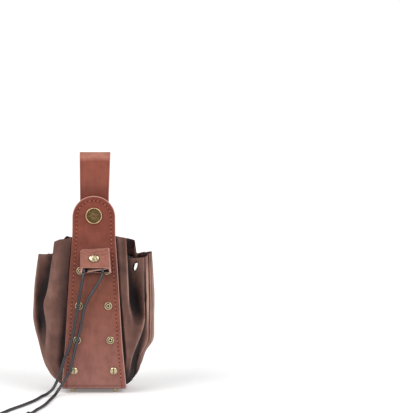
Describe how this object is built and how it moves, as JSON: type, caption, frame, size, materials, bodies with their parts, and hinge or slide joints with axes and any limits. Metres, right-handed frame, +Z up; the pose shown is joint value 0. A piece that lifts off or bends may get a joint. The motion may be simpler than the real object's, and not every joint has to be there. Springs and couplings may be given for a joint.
{
  "type": "drawstring belt pouch",
  "caption": "Small gathered suede pouch in a riveted leather strip, with a rounded snap tab, a belt loop behind it and a drawstring through a leather keeper.",
  "frame": {"origin": "on the ground under the middle of the pouch, which stands on its foot rivets", "axes": "+Z up towards the belt loop, -Y out of the front panel with the snap, +X to the right as seen from the front"},
  "size_m": [0.1422, 0.1851, 0.2173],
  "materials": {
    "strap_leather": "satin",
    "keeper_leather": "satin",
    "suede": "matte",
    "antique_brass": "satin",
    "cord": "matte"
  },
  "bodies": {
    "root": {"centre_strip": "strap_leather", "belt_loop": "strap_leather", "suede_bag": "suede", "cord_keeper": "keeper_leather", "snap_cap": "antique_brass", "snap_stud": "antique_brass", "keeper_rivet": "antique_brass", "rivet_front_1_left": "antique_brass", "rivet_front_1_right": "antique_brass", "rivet_front_2_left": "antique_brass", "rivet_front_2_right": "antique_brass", "rivet_front_3_left": "antique_brass", "rivet_front_3_right": "antique_brass", "rivet_front_4_left": "antique_brass", "rivet_front_4_right": "antique_brass", "foot_rivet_front_left": "antique_brass", "foot_rivet_front_right": "antique_brass", "rivet_back_1_left": "antique_brass", "rivet_back_1_right": "antique_brass", "rivet_back_2_left": "antique_brass", "rivet_back_2_right": "antique_brass", "rivet_back_3_left": "antique_brass", "rivet_back_3_right": "antique_brass", "rivet_back_4_left": "antique_brass", "rivet_back_4_right": "antique_brass", "foot_rivet_back_left": "antique_brass", "foot_rivet_back_right": "antique_brass", "drawstring": "cord", "cord_left": "cord", "cord_right": "cord", "knot_left": "cord", "knot_right": "cord"}
  },
  "joints": []
}
